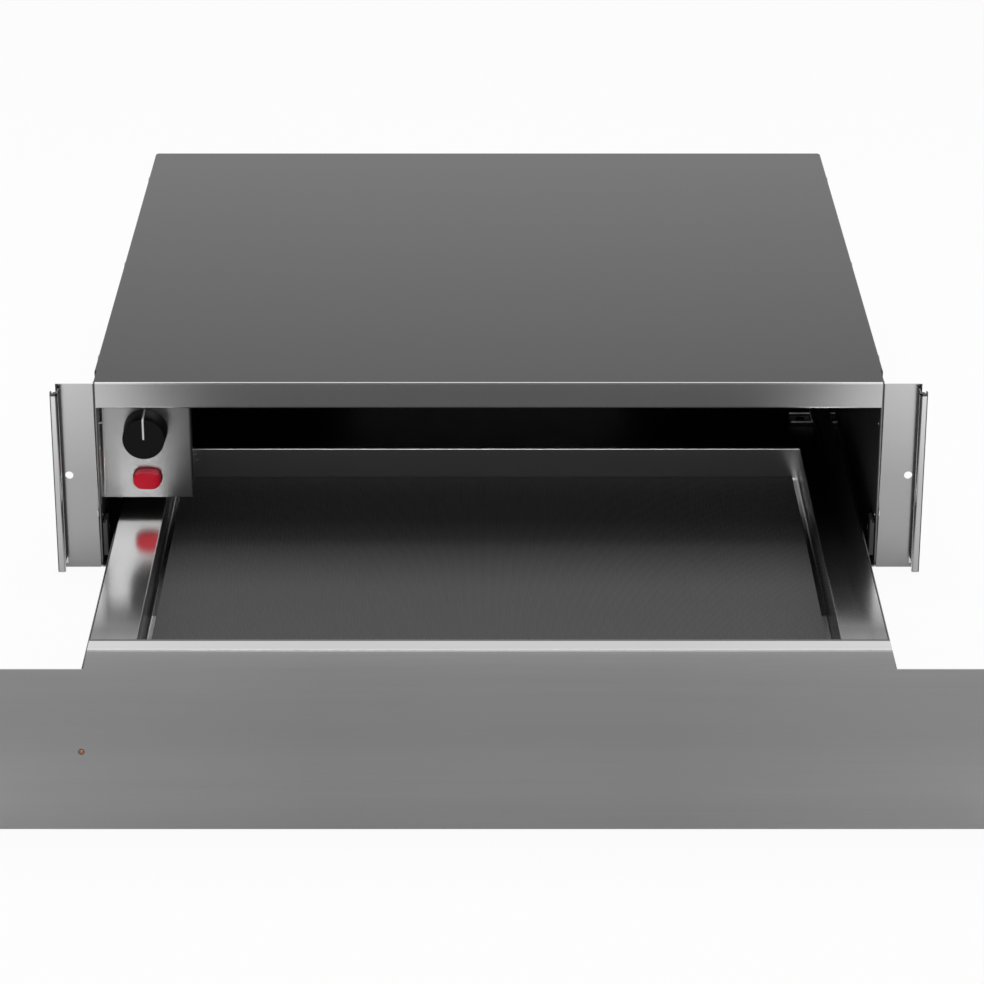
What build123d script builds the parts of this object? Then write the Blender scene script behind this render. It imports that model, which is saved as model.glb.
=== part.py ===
from build123d import *
import os

# Built-in warming drawer, drawn open. Millimetres.
# X to the right, Y into the kitchen unit, Z up. The origin is on the underside at the middle of the mouth:
# y = 0 is the rear face of the side flanges, z = 0 is the underside of the cabinet.

# ---- driving dimensions: cabinet ----
carcass_width = 533.2
carcass_depth = 510.0
carcass_height = 136.5
sheet = 1.0
bend = 1.6
base_lead = 1.0  # how far the base reaches in front of the flanges' rear face
wall_setback = 3.0
top_return = 12.0
lid_fit = 0.6
lid_skirt = 14.0
lid_setback = 21.6
tongue_front = -1.5
back_flange = 14.0
vent_count = 14
vent_pitch = 16.0
vent_width = 3.0
vent_height = 30.0
vent_level = 92.0
back_clearance = 1.6  # left over the base's bends and under the walls' top returns

# ---- side flanges ----
flange_reach = 28.5
flange_drop = 1.5  # the flange's head under the cover
flange_trim_start = 4.0
flange_leg = 20.0
flange_leg_trim = 8.0
lip_depth = 13.0
lip_gap = 3.4
lip_radius = 0.8
lip_hem = 10.0
lip_foot = 1.8
lip_head = 2.0
hem_foot = 8.0
lip_notch_width = 2.6
lip_notch_drop = 6.0
lip_notch_depth = 8.0
fixing_hole = 5.6
fixing_reach = 19.3
fixing_level = 68.3

# ---- bar over the mouth ----
bar_height = 18.9
bar_proud = 1.0
bar_shelf = 17.5
bar_upturn = 8.0

# ---- control panel ----
fascia_front = 14.0
fascia_width = 62.6
fascia_foot = 46.0
fascia_return = 8.0
fascia_radius = 2.6
fascia_leg_front = 0.5
control_inset = 31.6
fascia_turn_radius = 0.5
box_depth = 60.0
box_inset = 11.0
box_side_gap = 3.0
box_foot_gap = 3.0
box_head_gap = 1.5
box_wire_hole = 10.0

knob_drop = 21.5  # the knob's middle under the bar
knob_diameter = 30.0
knob_taper = 0.7
knob_length = 19.0
knob_standoff = 0.5
knob_edge = 0.7
knob_recess = 15.0
knob_skirt = 3.0
pointer_width = 1.2
pointer_height = 0.25
pointer_end_gap = 1.0
spindle_diameter = 6.0
spindle_bury = 3.0
spindle_fit = 0.05
spindle_reach = 12.0
knob_boss = 10.0
knob_boss_gap = 1.7
thermostat_head_gap = 6.4  # left between the thermostat and the control box over it
thermostat_depth = 20.0
thermostat_bore = 14.0
bush_diameter = 10.0
bush_bore_gap = 0.3
bush_reach = 5.0
nut_width = 14.0
nut_thickness = 2.4

button_rise = 14.7
button_width = 19.0
button_height = 13.2
button_radius = 6.2
button_proud = 7.5
button_edge = 1.6
button_travel = 2.5
button_gap = 0.7
button_tail = 4.0
button_well_gap = 0.5
switch_wall = 2.0
switch_depth = 22.0

# ---- front panel ----
panel_overhang = 2.4
panel_sheet = 1.2
panel_foot = 0.5
wing_height = 105.0
crown_lap = 0.2  # how far the raised middle laps over the bar when closed
wing_width = 62.3
crown_slope = 2.9
crown_return = 10.9
panel_fold = 10.0
panel_edge_radius = 0.96
foot_fold_inset = 39.5
backing_inset = 2.5
backing_foot = 4.0
backing_drop = 5.8
backing_depth = 10.5
indicator_inset = 59.1
indicator_level = 51.9
indicator_diameter = 3.3
indicator_dome = 0.5
indicator_edge = 0.45
holder_diameter = 8.0
holder_head = 4.8
holder_neck = 5.6
holder_length = 12.0

# ---- drawer ----
drawer_travel = 363.0
push_gap = 3.3  # left between the closed panel and the flange lips, for the push latch
drawer_rear_gap = 22.0  # left behind the closed tray for the latch
tray_sheet = 1.0
tray_floor = 13.2
tray_bend = 2.0
rail_level = 37.0
rail_wall_gap = 11.2
rail_width = 30.9
rail_radius = 1.3
rail_sheet = 1.0
rail_lip = 3.2
rail_shelf_gap = 2.0
back_rim = 4.0
back_rim_radius = 0.8
mat_side_gap = 4.5
mat_thickness = 1.5
mat_front_gap = 3.0
mat_back_gap = 2.0
shield_side_gap = 2.5
shield_foot = 6.0
shield_sheet = 0.8
shield_inset = 3.0
heater_thickness = 1.6
heater_inset = 6.0
cutout_diameter = 16.0
cutout_gap = 1.0
cutout_from_back = 60.0

# ---- telescopic slides ----
slide_sheet = 1.2
slide_wall_gap = 13.0
slide_foot = 8.0
slide_height = 25.0
slide_rear_gap = 41.0
slide_outer_front = 8.0
slide_step = 18.0  # how much shorter the moving members are
slide_middle_front = 4.0
slide_inner_front = -2.0
raceway = 3.0
web_gap = 1.2
race_reach = 5.0
race_clear = 0.6
ball_diameter = 2.8
ball_count = 8
cage_end_gap = 14.25
cage_width = 3.4
cage_sheet = 0.6
drawer_side_sheet = 1.2
bracket_sheet = 1.0
bracket_depth = 25.0
bracket_rise = 24.0
rear_bracket_inset = 209.0  # from the rear end of the outer member
rear_bracket_depth = 19.0
rear_bracket_foot = 15.6
rear_rim = 2.0
pad_length = 10.0
pad_lead = 7.0  # how far the pad stands in front of the slide
pad_height = 24.0
pad_gap = 7.1
pad_nub = 0.8
pad_nub_height = 2.0

# ---- latch and mains connection ----
latch_half = 14.0
latch_foot = 8.0
latch_head = 30.0
latch_depth = 12.0
striker_half = 12.0
striker_foot = 14.5
striker_head = 26.0
striker_thickness = 2.0
plunger_level = 20.0
plunger_diameter = 6.0
plunger_fit = 0.05
plunger_gap = 0.4
plunger_travel = 3.0
plunger_tail = 5.0
plunger_bottom_gap = 1.0
latch_edge = 1.0
striker_edge = 0.6
terminal_x = -150.0
terminal_width = 60.0
terminal_foot = 70.0
terminal_height = 45.0
terminal_depth = 16.0
terminal_wall = 1.5
terminal_radius = 2.0
lead_hole_rise = 11.25
block_width = 34.0
block_depth = 10.0
block_height = 16.0
block_ways = 3
block_rise = 20.25
block_screw = 3.4
block_entry = 2.25
block_hole_depth = 3.0
block_entry_depth = 5.0
cable_bore = 7.0
gland_neck = 10.0
gland_nut = 14.0
gland_nut_height = 8.0
gland_cap = 12.0
gland_cap_height = 8.0
gland_cap_radius = 2.0
gland_stub = 4.0

# ---- screws ----
screw_shank = 3.4
screw_head = 7.0
screw_head_height = 1.8
screw_hole = 3.6
screw_tip = 3.0
screw_hole_depth = 8.0
lid_screw_front = 60.0
lid_screw_rear = 50.0
back_screw_low = 40.0
back_screw_high = 80.0
leg_screw_end = 33.75
leg_screw_depth = 12.0
wall_screw_depth = 18.0
wall_screw_rise = 10.0

# ---- derived places ----
half = carcass_width / 2
wall_in = half - sheet
back_in = carcass_depth - sheet
lid_under = carcass_height - sheet
lid_half = half + lid_fit + sheet
bar_front = -base_lead - bar_proud - 0.5 * sheet
bar_foot = carcass_height - bar_height
flange_front = -sheet
flange_edge = half + flange_reach
flange_height = carcass_height - flange_drop
fixing_x = half + fixing_reach
lip_front = flange_front - lip_depth
panel_rear = lip_front - push_gap - drawer_travel
panel_front = panel_rear - panel_sheet
panel_edge = flange_edge + panel_overhang
crown_height = bar_foot + crown_lap
crown_base_half = panel_edge - wing_width
crown_top_half = crown_base_half - crown_slope
foot_fold_half = panel_edge - foot_fold_inset
indicator_x = -panel_edge + indicator_inset
tray_front = panel_rear + backing_depth
drawer_depth = back_in - drawer_rear_gap - drawer_travel - panel_rear
tray_back = panel_rear + drawer_depth
rail_half = wall_in - rail_wall_gap
tray_half = rail_half - rail_width
mat_half = tray_half - mat_side_gap
shield_half = tray_half - shield_side_gap
backing_half = tray_half - backing_inset
backing_head = crown_height - backing_drop
rail_under = rail_level - rail_sheet
tray_under = tray_floor - tray_sheet
slide_head = slide_foot + slide_height
fascia_rear = fascia_front + sheet
fascia_right = -wall_in + fascia_width
control_x = -wall_in + control_inset
knob_level = bar_foot - knob_drop
button_level = fascia_foot + button_rise
knob_base = fascia_front - knob_standoff
knob_front = knob_base - knob_length
knob_face = knob_diameter - 2 * knob_taper
bush_front = fascia_rear - bush_reach
thermostat_diameter = 2 * (knob_drop - box_head_gap - sheet - thermostat_head_gap)
button_front = fascia_front - button_proud
slide_outer_face = wall_in - slide_wall_gap
slide_outer_length = back_in - slide_rear_gap - slide_outer_front
slide_middle_length = slide_outer_length - slide_step
slide_inner_length = slide_middle_length
middle_web = slide_outer_face - slide_sheet - web_gap
inner_face = middle_web - slide_sheet - race_reach - slide_sheet
inner_tip = middle_web - slide_sheet - race_clear
drawer_side_face = inner_face - drawer_side_sheet
middle_foot = slide_foot + slide_sheet + raceway
middle_head = slide_head - slide_sheet - raceway
inner_foot = middle_foot + slide_sheet + raceway
inner_head = middle_head - slide_sheet - raceway
race_tip = inner_face + slide_sheet + race_clear
rear_bracket_inner = race_tip - rear_bracket_foot
rear_bracket_front = slide_outer_front + slide_outer_length - rear_bracket_inset
race_x = 0.5 * (race_tip + middle_web - slide_sheet)
rear_bracket_outer = wall_in - bend
inner_shift = -drawer_travel
middle_shift = -drawer_travel / 2
inner_start = slide_inner_front + inner_shift
middle_start = slide_middle_front + middle_shift
cage_length = middle_start + slide_middle_length - slide_outer_front - 2 * cage_end_gap
latch_rear_wall = back_in
latch_face = latch_rear_wall - latch_depth
striker_closed = tray_back + tray_sheet + striker_thickness + drawer_travel
plunger_tip = striker_closed + plunger_gap
sides = (("left", -1), ("right", 1))


def save(piece, name):
    """Label a finished piece and write its file."""
    piece.part.label = name
    export_step(piece.part, f"parts/{name}.step")


def front_plane(y):
    """Upright plane at depth y; a positive extrusion from it goes towards the back."""
    return Plane(origin=(0, y, 0), x_dir=(-1, 0, 0), z_dir=(0, 1, 0))


def side_plane(x):
    """Upright plane at x, with Y and Z as its own axes; a positive extrusion goes to the right."""
    return Plane(origin=(x, 0, 0), x_dir=(0, 1, 0), z_dir=(1, 0, 0))


def bent_section(points, thickness, radii, side=Side.RIGHT):
    """Section of a bent sheet: its outline follows points and its thickness lies on one side of them."""
    with BuildSketch() as section:
        with BuildLine():
            FilletPolyline(*points, radius=radii)
            offset(amount=thickness, side=side)
        make_face()
    return section.sketch


def upright_section(points, thickness, radii, side=Side.RIGHT):
    """The same section for front_plane, whose own axis runs against X."""
    flipped = [(-x, z) for x, z in points]
    return bent_section(flipped, thickness, radii, Side.LEFT if side == Side.RIGHT else Side.RIGHT)


def box_between(low, high, mode=Mode.ADD):
    """Box from its lowest corner to its highest."""
    with Locations([low]):
        Box(*[b - a for a, b in zip(low, high)], align=(Align.MIN,) * 3, mode=mode)


def rod(start, direction, radius, length, mode=Mode.ADD):
    """Cylinder from start along direction."""
    with Locations(Plane(origin=start, z_dir=direction)):
        Cylinder(radius, length, align=(Align.CENTER, Align.CENTER, Align.MIN), mode=mode)


def mirrored(side_sign, low, high):
    """Corners of a box given for the right side, moved to the side asked for."""
    if side_sign > 0:
        return low, high
    return (-high[0], low[1], low[2]), (-low[0], high[1], high[2])


def side_box(side_sign, low, high, mode=Mode.ADD):
    """Box given for the right side, made on the side asked for."""
    box_between(*mirrored(side_sign, low, high), mode=mode)


# ---- screw places: point on the sheet's outer face, and the direction that the screw points in ----
def both_sides(x, y, z, inward=-1):
    """A pair of screws along X, one on each side."""
    return [((sign * x, y, z), (sign * inward, 0, 0)) for sign in (-1, 1)]


lid_screws = [s for y in (lid_screw_front, 0.5 * carcass_depth, carcass_depth - lid_screw_rear)
              for s in both_sides(lid_half, y, carcass_height - 0.5 * lid_skirt)]
back_screw_y = back_in - 0.5 * back_flange
rear_screws = [s for z in (back_screw_low, back_screw_high) for s in both_sides(half, back_screw_y, z)]
leg_screws = [s for z in (leg_screw_end, flange_height - leg_screw_end)
              for s in both_sides(half + sheet, leg_screw_depth, z)]
bracket_screw_y = slide_outer_front + wall_screw_depth
bracket_screw_z = slide_foot + wall_screw_rise
wall_screws = both_sides(wall_in - bracket_sheet, bracket_screw_y, bracket_screw_z, inward=1)
rear_foot_y = rear_bracket_front + 0.5 * rear_bracket_depth
rear_foot_xs = (0.5 * (rear_bracket_inner + race_tip),
                0.5 * (slide_outer_face + bracket_sheet + rear_bracket_outer))
floor_screws = [((sign * x, rear_foot_y, sheet + bracket_sheet), (0, 0, -1))
                for x in rear_foot_xs for sign in (-1, 1)]


def screw_holes(screws):
    """Clearance holes through every sheet that the screws pass."""
    for point, direction in screws:
        start = [p - screw_hole_depth / 2 * d for p, d in zip(point, direction)]
        rod(start, direction, screw_hole / 2, screw_hole_depth, mode=Mode.SUBTRACT)


def make_screws(name, screws, reach):
    """Pan-head screws, one solid each."""
    with BuildPart() as piece:
        for point, direction in screws:
            with BuildPart(Plane(origin=point, z_dir=direction), mode=Mode.PRIVATE) as screw:
                Cylinder(screw_shank / 2, reach, align=(Align.CENTER, Align.CENTER, Align.MIN))
                Cylinder(screw_head / 2, screw_head_height, align=(Align.CENTER, Align.CENTER, Align.MAX))
            add(screw.part)
    save(piece, name)


# ---- cabinet ----
def make_cabinet_shell():
    """Base and both side walls from one sheet, with returns along the top that carry the cover."""
    path = [(-half + top_return, lid_under), (-half, lid_under), (-half, 0),
            (half, 0), (half, lid_under), (half - top_return, lid_under)]
    with BuildPart() as piece:
        with BuildSketch(front_plane(-base_lead)):
            add(upright_section(path, sheet, bend, Side.LEFT))
        extrude(amount=carcass_depth + base_lead)
        for sign in (-1, 1):
            side_box(sign, (wall_in - sheet, -base_lead - sheet, bend), (half + sheet, wall_setback, lid_under + sheet),
                     mode=Mode.SUBTRACT)
        screw_holes(lid_screws + rear_screws + leg_screws + wall_screws + floor_screws)
    save(piece, "cabinet_shell")


def make_cabinet_back():
    """Back panel, flanged at its sides, with vent slots and the hole for the mains leads."""
    path = [(-wall_in, carcass_depth - back_flange), (-wall_in, carcass_depth),
            (wall_in, carcass_depth), (wall_in, carcass_depth - back_flange)]
    with BuildPart() as piece:
        with BuildSketch(Plane.XY.offset(sheet + back_clearance)):
            add(bent_section(path, sheet, bend))
        extrude(amount=lid_under - 2 * (sheet + back_clearance))
        with BuildSketch(front_plane(back_in)):
            with Locations((0, vent_level)):
                with GridLocations(vent_pitch, 1, vent_count, 1):
                    SlotOverall(vent_height, vent_width, rotation=90)
            with Locations((-terminal_x, terminal_foot + lead_hole_rise)):
                Circle(cable_bore / 2)
        extrude(amount=2 * sheet, mode=Mode.SUBTRACT)
        screw_holes(rear_screws)
    save(piece, "cabinet_back")


def make_top_cover():
    """Lid lapped over the walls and the back, with a narrower tongue that runs up to the bar."""
    skirt_foot = carcass_height - lid_skirt
    path = [(-lid_half, skirt_foot), (-lid_half, carcass_height),
            (lid_half, carcass_height), (lid_half, skirt_foot)]
    with BuildPart() as piece:
        with BuildSketch(front_plane(lid_setback)):
            add(upright_section(path, sheet, bend))
        extrude(amount=carcass_depth - lid_setback)
        box_between((-half, tongue_front, lid_under), (half, lid_setback, carcass_height))
        box_between((-half, carcass_depth, skirt_foot), (half, carcass_depth + sheet, carcass_height))
        screw_holes(lid_screws)
    save(piece, "top_cover")


def make_front_top_bar():
    """Bent bar across the top of the mouth."""
    shelf_rear = bar_front + bar_shelf
    path = [(bar_front, carcass_height), (bar_front, bar_foot),
            (shelf_rear, bar_foot), (shelf_rear, bar_foot + bar_upturn)]
    with BuildPart() as piece:
        with BuildSketch(side_plane(-wall_in)):
            add(bent_section(path, sheet, bend, Side.LEFT))
        extrude(amount=2 * wall_in)
    save(piece, "front_top_bar")


def make_side_flange(name, sign):
    """Flange with a leg on the cabinet's wall and a hemmed lip that stands forward."""
    inner = flange_edge - sheet
    hem_face = inner - lip_gap
    path = [(half, flange_leg), (half, flange_front), (inner, flange_front),
            (inner, lip_front + sheet), (hem_face, lip_front + sheet), (hem_face, lip_front + lip_hem)]
    with BuildPart() as piece:
        with BuildSketch(Plane.XY):
            add(bent_section(path, sheet, lip_radius, Side.LEFT))
        extrude(amount=flange_height)
        reach = flange_edge + sheet
        box_between((half - sheet, lip_front - sheet, -sheet), (reach, flange_front - sheet, lip_foot),
                    mode=Mode.SUBTRACT)
        box_between((half - sheet, lip_front - sheet, flange_height - lip_head),
                    (reach, flange_front - sheet, flange_height + sheet), mode=Mode.SUBTRACT)
        box_between((half - sheet, lip_front + 2 * sheet, -sheet), (hem_face, flange_front - sheet, hem_foot),
                    mode=Mode.SUBTRACT)
        box_between((half - sheet, flange_trim_start, -sheet), (half + 2 * sheet, flange_leg + sheet,
                    flange_leg_trim), mode=Mode.SUBTRACT)
        box_between((half - sheet, flange_trim_start, flange_height - flange_leg_trim),
                    (half + 2 * sheet, flange_leg + sheet, flange_height + sheet), mode=Mode.SUBTRACT)
        box_between((flange_edge - lip_notch_width, flange_front - lip_notch_depth, flange_height - lip_notch_drop),
                    (reach, flange_front + 2 * sheet, flange_height + sheet), mode=Mode.SUBTRACT)
        rod((fixing_x, flange_front - sheet, fixing_level), (0, 1, 0), fixing_hole / 2,
            3 * sheet, mode=Mode.SUBTRACT)
        screw_holes([s for s in leg_screws if s[0][0] > 0])
        if sign < 0:
            mirror(about=Plane.YZ, mode=Mode.REPLACE)
    save(piece, f"{name}_side_flange")


# ---- controls ----
def make_control_fascia():
    """Face plate with a leg along the cabinet's wall and a short return at its free edge."""
    turn = fascia_right - sheet
    path = [(-wall_in, fascia_leg_front), (-wall_in, fascia_rear),
            (turn, fascia_rear), (turn, fascia_rear + fascia_return)]
    with BuildPart() as piece:
        with BuildSketch(Plane.XY.offset(fascia_foot)):
            add(bent_section(path, sheet, [fascia_radius, fascia_turn_radius]))
        extrude(amount=bar_foot - fascia_foot)
        rod((control_x, fascia_front - sheet, knob_level), (0, 1, 0), bush_diameter / 2 + bush_bore_gap,
            3 * sheet, mode=Mode.SUBTRACT)
        with BuildSketch(front_plane(fascia_front - sheet)):
            with Locations((-control_x, button_level)):
                RectangleRounded(button_width + 2 * button_gap, button_height + 2 * button_gap,
                                 button_radius + button_gap)
        extrude(amount=3 * sheet, mode=Mode.SUBTRACT)
        screw_holes([s for s in leg_screws if s[0][0] < 0])
    save(piece, "control_fascia")


def make_control_box():
    """Sheet box behind the face plate that keeps fingers and crumbs off the switches."""
    low = (-wall_in + box_side_gap, fascia_rear, fascia_foot + box_foot_gap)
    high = (fascia_right - box_inset, fascia_rear + box_depth, bar_foot - box_head_gap)
    with BuildPart() as piece:
        box_between(low, high)
        box_between((low[0] + sheet, low[1] - sheet, low[2] + sheet),
                    (high[0] - sheet, high[1] - sheet, high[2] - sheet), mode=Mode.SUBTRACT)
        rod((control_x, high[1] - 2 * sheet, 0.5 * (low[2] + high[2])), (0, 1, 0), box_wire_hole / 2,
            3 * sheet, mode=Mode.SUBTRACT)
    save(piece, "control_box")


def make_thermostat():
    """Thermostat with a threaded bush through the face plate, its nut, spindle, knob and pointer."""
    with BuildPart() as body:
        rod((control_x, fascia_rear, knob_level), (0, 1, 0), thermostat_diameter / 2, thermostat_depth)
        rod((control_x, bush_front, knob_level), (0, 1, 0), bush_diameter / 2, bush_reach)
        rod((control_x, bush_front, knob_level), (0, 1, 0), spindle_diameter / 2 + spindle_fit,
            bush_reach + thermostat_bore, mode=Mode.SUBTRACT)
    save(body, "thermostat_body")

    with BuildPart() as nut:
        with BuildSketch(front_plane(fascia_front - nut_thickness)):
            with Locations((-control_x, knob_level)):
                RegularPolygon(nut_width / 2, 6, major_radius=False)
                Circle(bush_diameter / 2, mode=Mode.SUBTRACT)
        extrude(amount=nut_thickness)
    save(nut, "thermostat_nut")

    spindle_front = knob_front + spindle_bury
    with BuildPart() as spindle:
        rod((control_x, spindle_front, knob_level), (0, 1, 0), spindle_diameter / 2,
            fascia_rear + spindle_reach - spindle_front)
    save(spindle, "knob_spindle")

    with BuildPart() as knob:
        with Locations(Plane(origin=(control_x, knob_front, knob_level), z_dir=(0, 1, 0))):
            Cone(knob_face / 2, knob_diameter / 2, knob_length, align=(Align.CENTER, Align.CENTER, Align.MIN))
        fillet(knob.edges().filter_by(GeomType.CIRCLE).group_by(Axis.Y)[0], knob_edge)
        rod((control_x, knob_base - knob_recess, knob_level), (0, 1, 0), knob_diameter / 2 - knob_skirt,
            2 * knob_recess, mode=Mode.SUBTRACT)
        rod((control_x, knob_front + knob_edge, knob_level), (0, 1, 0), knob_boss / 2,
            bush_front - knob_boss_gap - knob_front - knob_edge)
        rod((control_x, spindle_front, knob_level), (0, 1, 0), spindle_diameter / 2, 2 * knob_length,
            mode=Mode.SUBTRACT)
    save(knob, "control_knob")

    rim_y = knob_front + knob_edge
    rim = knob_level + knob_face / 2
    with BuildPart() as pointer:
        with BuildSketch(side_plane(control_x - pointer_width / 2)):
            with BuildLine():
                Polyline((knob_front, knob_level), (knob_front - pointer_height, knob_level),
                         (knob_front - pointer_height, rim - knob_edge), (rim_y - knob_edge / 2, rim + pointer_height),
                         (knob_base - pointer_end_gap, knob_level + knob_diameter / 2 + pointer_height),
                         (knob_base - pointer_end_gap, rim - knob_edge), (rim_y, rim - knob_edge),
                         (knob_front, rim - knob_edge), close=True)
            make_face()
        extrude(amount=pointer_width)
        add(knob.part, mode=Mode.SUBTRACT)
    save(pointer, "knob_pointer")


def make_power_button():
    """Rocker-sized push button and the switch that carries it behind the face plate."""
    tail = fascia_rear + button_tail
    with BuildPart() as button:
        with BuildSketch(front_plane(button_front)):
            with Locations((-control_x, button_level)):
                RectangleRounded(button_width, button_height, button_radius)
        extrude(amount=tail - button_front)
        fillet(button.faces().sort_by(Axis.Y)[0].edges(), button_edge)
    save(button, "power_button")

    well = tail + button_travel + button_well_gap
    with BuildPart() as switch:
        with BuildSketch(front_plane(fascia_rear)):
            with Locations((-control_x, button_level)):
                Rectangle(button_width + 2 * switch_wall, button_height + 2 * switch_wall)
        extrude(amount=switch_depth)
        with BuildSketch(front_plane(fascia_rear)):
            with Locations((-control_x, button_level)):
                RectangleRounded(button_width + 2 * button_gap, button_height + 2 * button_gap,
                                 button_radius + button_gap)
        extrude(amount=well - fascia_rear, mode=Mode.SUBTRACT)
    save(switch, "switch_body")


# ---- drawer ----
def make_front_panel():
    """Brushed plate with a raised middle, folded back at its ends and foot and over the top of the middle."""
    edge = panel_edge
    outline = [(-edge, panel_foot), (edge, panel_foot), (edge, wing_height), (crown_base_half, wing_height),
               (crown_top_half, crown_height), (-crown_top_half, crown_height),
               (-crown_base_half, wing_height), (-edge, wing_height)]
    fold_rear = panel_rear + panel_fold
    with BuildPart() as piece:
        with BuildSketch(front_plane(panel_front)):
            with BuildLine():
                Polyline(*outline, close=True)
            make_face()
        extrude(amount=panel_sheet)
        box_between((-crown_top_half, panel_rear, crown_height - panel_sheet),
                    (crown_top_half, panel_rear + crown_return, crown_height))
        box_between((-foot_fold_half, panel_rear, panel_foot),
                    (foot_fold_half, fold_rear, panel_foot + panel_sheet))
        for sign in (-1, 1):
            side_box(sign, (edge - panel_sheet, panel_rear, panel_foot), (edge, fold_rear, wing_height))
        fillet(piece.edges().filter_by(Axis.X).filter_by_position(Axis.Z, crown_height - 0.01,
               crown_height + 0.01).filter_by_position(Axis.Y, panel_front - 0.01, panel_front + 0.01),
               panel_edge_radius)
        rod((indicator_x, panel_front - 1, indicator_level), (0, 1, 0), indicator_diameter / 2,
            panel_sheet + 2, mode=Mode.SUBTRACT)
    save(piece, "front_panel")


def make_front_backing():
    """Shallow closed pan behind the panel that the tray is fixed to."""
    low = (-backing_half, panel_rear, backing_foot)
    high = (backing_half, tray_front, backing_head)
    with BuildPart() as piece:
        box_between(low, high)
        box_between((low[0] + sheet, low[1] - sheet, low[2] + sheet),
                    (high[0] - sheet, high[1] - sheet, high[2] - sheet), mode=Mode.SUBTRACT)
    save(piece, "front_backing")


def make_indicator():
    """Amber lens through the panel and the holder behind it."""
    with BuildPart() as lens:
        rod((indicator_x, panel_front - indicator_dome, indicator_level), (0, 1, 0), indicator_diameter / 2,
            panel_sheet + indicator_dome)
        fillet(lens.edges().filter_by(GeomType.CIRCLE).group_by(Axis.Y)[0], indicator_edge)
    save(lens, "indicator_lens")
    with BuildPart() as holder:
        rod((indicator_x, panel_rear, indicator_level), (0, 1, 0), holder_diameter / 2, holder_head)
        rod((indicator_x, panel_rear, indicator_level), (0, 1, 0), holder_neck / 2, holder_length)
    save(holder, "indicator_holder")


def make_drawer_tray():
    """Pressed tray: floor, four walls, side shelves under the rails and a rim along the back."""
    shelf = rail_half - rail_shelf_gap
    path = [(-shelf, rail_under), (-tray_half, rail_under), (-tray_half, tray_floor),
            (tray_half, tray_floor), (tray_half, rail_under), (shelf, rail_under)]
    outer = tray_half + tray_sheet
    with BuildPart() as piece:
        with BuildSketch(front_plane(tray_front)):
            add(upright_section(path, tray_sheet, tray_bend))
        extrude(amount=drawer_depth - backing_depth)
        box_between((-outer, tray_front, tray_under), (outer, tray_front + tray_sheet, rail_under))
        box_between((-outer, tray_back, tray_under), (outer, tray_back + tray_sheet, rail_level))
        box_between((-outer, tray_back, rail_under), (outer, tray_back + back_rim, rail_level))
        top_edges = piece.edges().filter_by(Axis.X).group_by(Axis.Z)[-1]
        fillet(top_edges.sort_by(Axis.Y)[0], back_rim_radius)
    save(piece, "drawer_tray")


def make_rail(name, sign):
    """Polished cover strip over one side of the tray, with a lip down its outer edge."""
    path = [(tray_half, rail_level), (rail_half, rail_level), (rail_half, rail_level - rail_lip)]
    with BuildPart() as piece:
        with BuildSketch(front_plane(panel_rear)):
            add(upright_section(path, rail_sheet, rail_radius))
        extrude(amount=drawer_depth)
        if sign < 0:
            mirror(about=Plane.YZ, mode=Mode.REPLACE)
    save(piece, f"{name}_rail")


def make_drawer_side(name, sign):
    """Upright plate under the rail that carries the inner slide member."""
    with BuildPart() as piece:
        side_box(sign, (drawer_side_face, panel_rear, slide_foot),
                 (inner_face, tray_back, rail_under - tray_sheet))
    save(piece, f"{name}_drawer_side")


def make_heating():
    """Mat, heater, insulation and cut-out, stacked over and under the tray's floor in a shallow shield."""
    mat_front = tray_front + tray_sheet + mat_front_gap
    with BuildPart() as mat:
        box_between((-mat_half, mat_front, tray_floor), (mat_half, tray_back - mat_back_gap,
                    tray_floor + mat_thickness))
    save(mat, "non_slip_mat")

    front = tray_front + shield_inset
    rear = tray_back - shield_inset
    path = [(-shield_half, tray_under), (-shield_half, shield_foot),
            (shield_half, shield_foot), (shield_half, tray_under)]
    with BuildPart() as shield:
        with BuildSketch(front_plane(front)):
            add(upright_section(path, shield_sheet, bend, Side.LEFT))
        extrude(amount=rear - front)
        for start in (front, rear - shield_sheet):
            box_between((-shield_half + bend, start, shield_foot),
                        (shield_half - bend, start + shield_sheet, tray_under))
    save(shield, "heat_shield")

    heater_foot = tray_under - heater_thickness
    inset = shield_half - heater_inset
    with BuildPart() as heater:
        box_between((-inset, front + heater_inset, heater_foot), (inset, rear - heater_inset, tray_under))
    save(heater, "heater_mat")

    cutout_y = rear - cutout_from_back
    wool_foot = shield_foot + shield_sheet
    with BuildPart() as wool:
        box_between((-inset, front + heater_inset, wool_foot), (inset, rear - heater_inset, heater_foot))
        rod((0, cutout_y, wool_foot - 1), (0, 0, 1), cutout_diameter / 2 + cutout_gap, heater_foot, mode=Mode.SUBTRACT)
    save(wool, "insulation_pad")

    with BuildPart() as cutout:
        rod((0, cutout_y, wool_foot), (0, 0, 1), cutout_diameter / 2, heater_foot - wool_foot)
    save(cutout, "thermal_cutout")


# ---- slides ----
def channel(sign, web_face, tip, foot, head, start, length):
    """Straight channel: an upright web with a flange at its foot and head, given for the right side."""
    web = sorted((web_face, web_face + slide_sheet * (1 if tip > web_face else -1)))
    flange = sorted((web_face, tip))
    side_box(sign, (web[0], start, foot), (web[1], start + length, head))
    side_box(sign, (flange[0], start, foot), (flange[1], start + length, foot + slide_sheet))
    side_box(sign, (flange[0], start, head - slide_sheet), (flange[1], start + length, head))


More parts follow.
